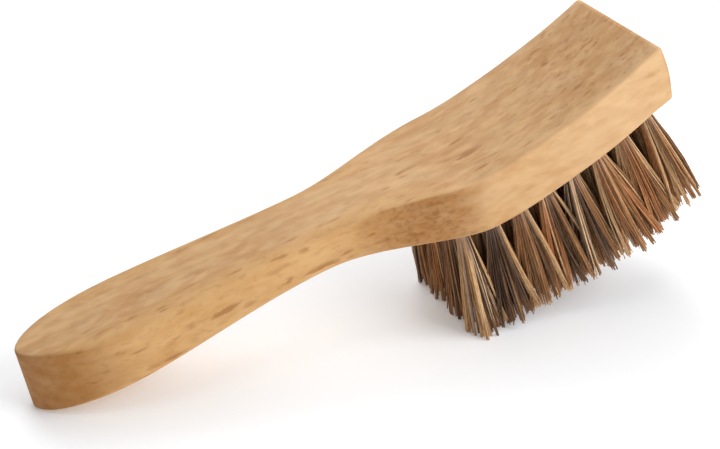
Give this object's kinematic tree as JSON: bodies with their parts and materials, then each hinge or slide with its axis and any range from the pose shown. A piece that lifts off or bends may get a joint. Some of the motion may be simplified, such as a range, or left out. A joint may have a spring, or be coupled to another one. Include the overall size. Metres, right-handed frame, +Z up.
{
  "type": "hoof brush",
  "caption": "Wooden hoof brush with a flat rounded handle and an upswept rectangular head, filled with coarse fibre tufts stapled into drilled holes.",
  "frame": {"origin": "on the floor, under the middle of the brush's bounding box, with the brush standing as it is put down: on the end of its handle and on the heel of its filling", "axes": "+X from the handle's end towards the toe of the head, +Y to the far side as pictured, +Z up"},
  "size_m": [0.2202, 0.0478, 0.0882],
  "materials": {
    "wood": "sanded pale beech, unvarnished",
    "fibre": "coarse mixed natural fibre, dark brown to blond",
    "wire": "bare drawn wire"
  },
  "bodies": {
    "root": {"wood_stock": "wood", "tuft_row_1": "fibre", "tuft_row_2": "fibre", "tuft_row_3": "fibre", "tuft_row_4": "fibre", "staple_1_1": "wire", "staple_1_2": "wire", "staple_1_3": "wire", "staple_1_4": "wire", "staple_1_5": "wire", "staple_1_6": "wire", "staple_1_7": "wire", "staple_1_8": "wire", "staple_2_1": "wire", "staple_2_2": "wire", "staple_2_3": "wire", "staple_2_4": "wire", "staple_2_5": "wire", "staple_2_6": "wire", "staple_2_7": "wire", "staple_2_8": "wire", "staple_3_1": "wire", "staple_3_2": "wire", "staple_3_3": "wire", "staple_3_4": "wire", "staple_3_5": "wire", "staple_3_6": "wire", "staple_3_7": "wire", "staple_3_8": "wire", "staple_4_1": "wire", "staple_4_2": "wire", "staple_4_3": "wire", "staple_4_4": "wire", "staple_4_5": "wire", "staple_4_6": "wire", "staple_4_7": "wire", "staple_4_8": "wire"}
  },
  "joints": []
}
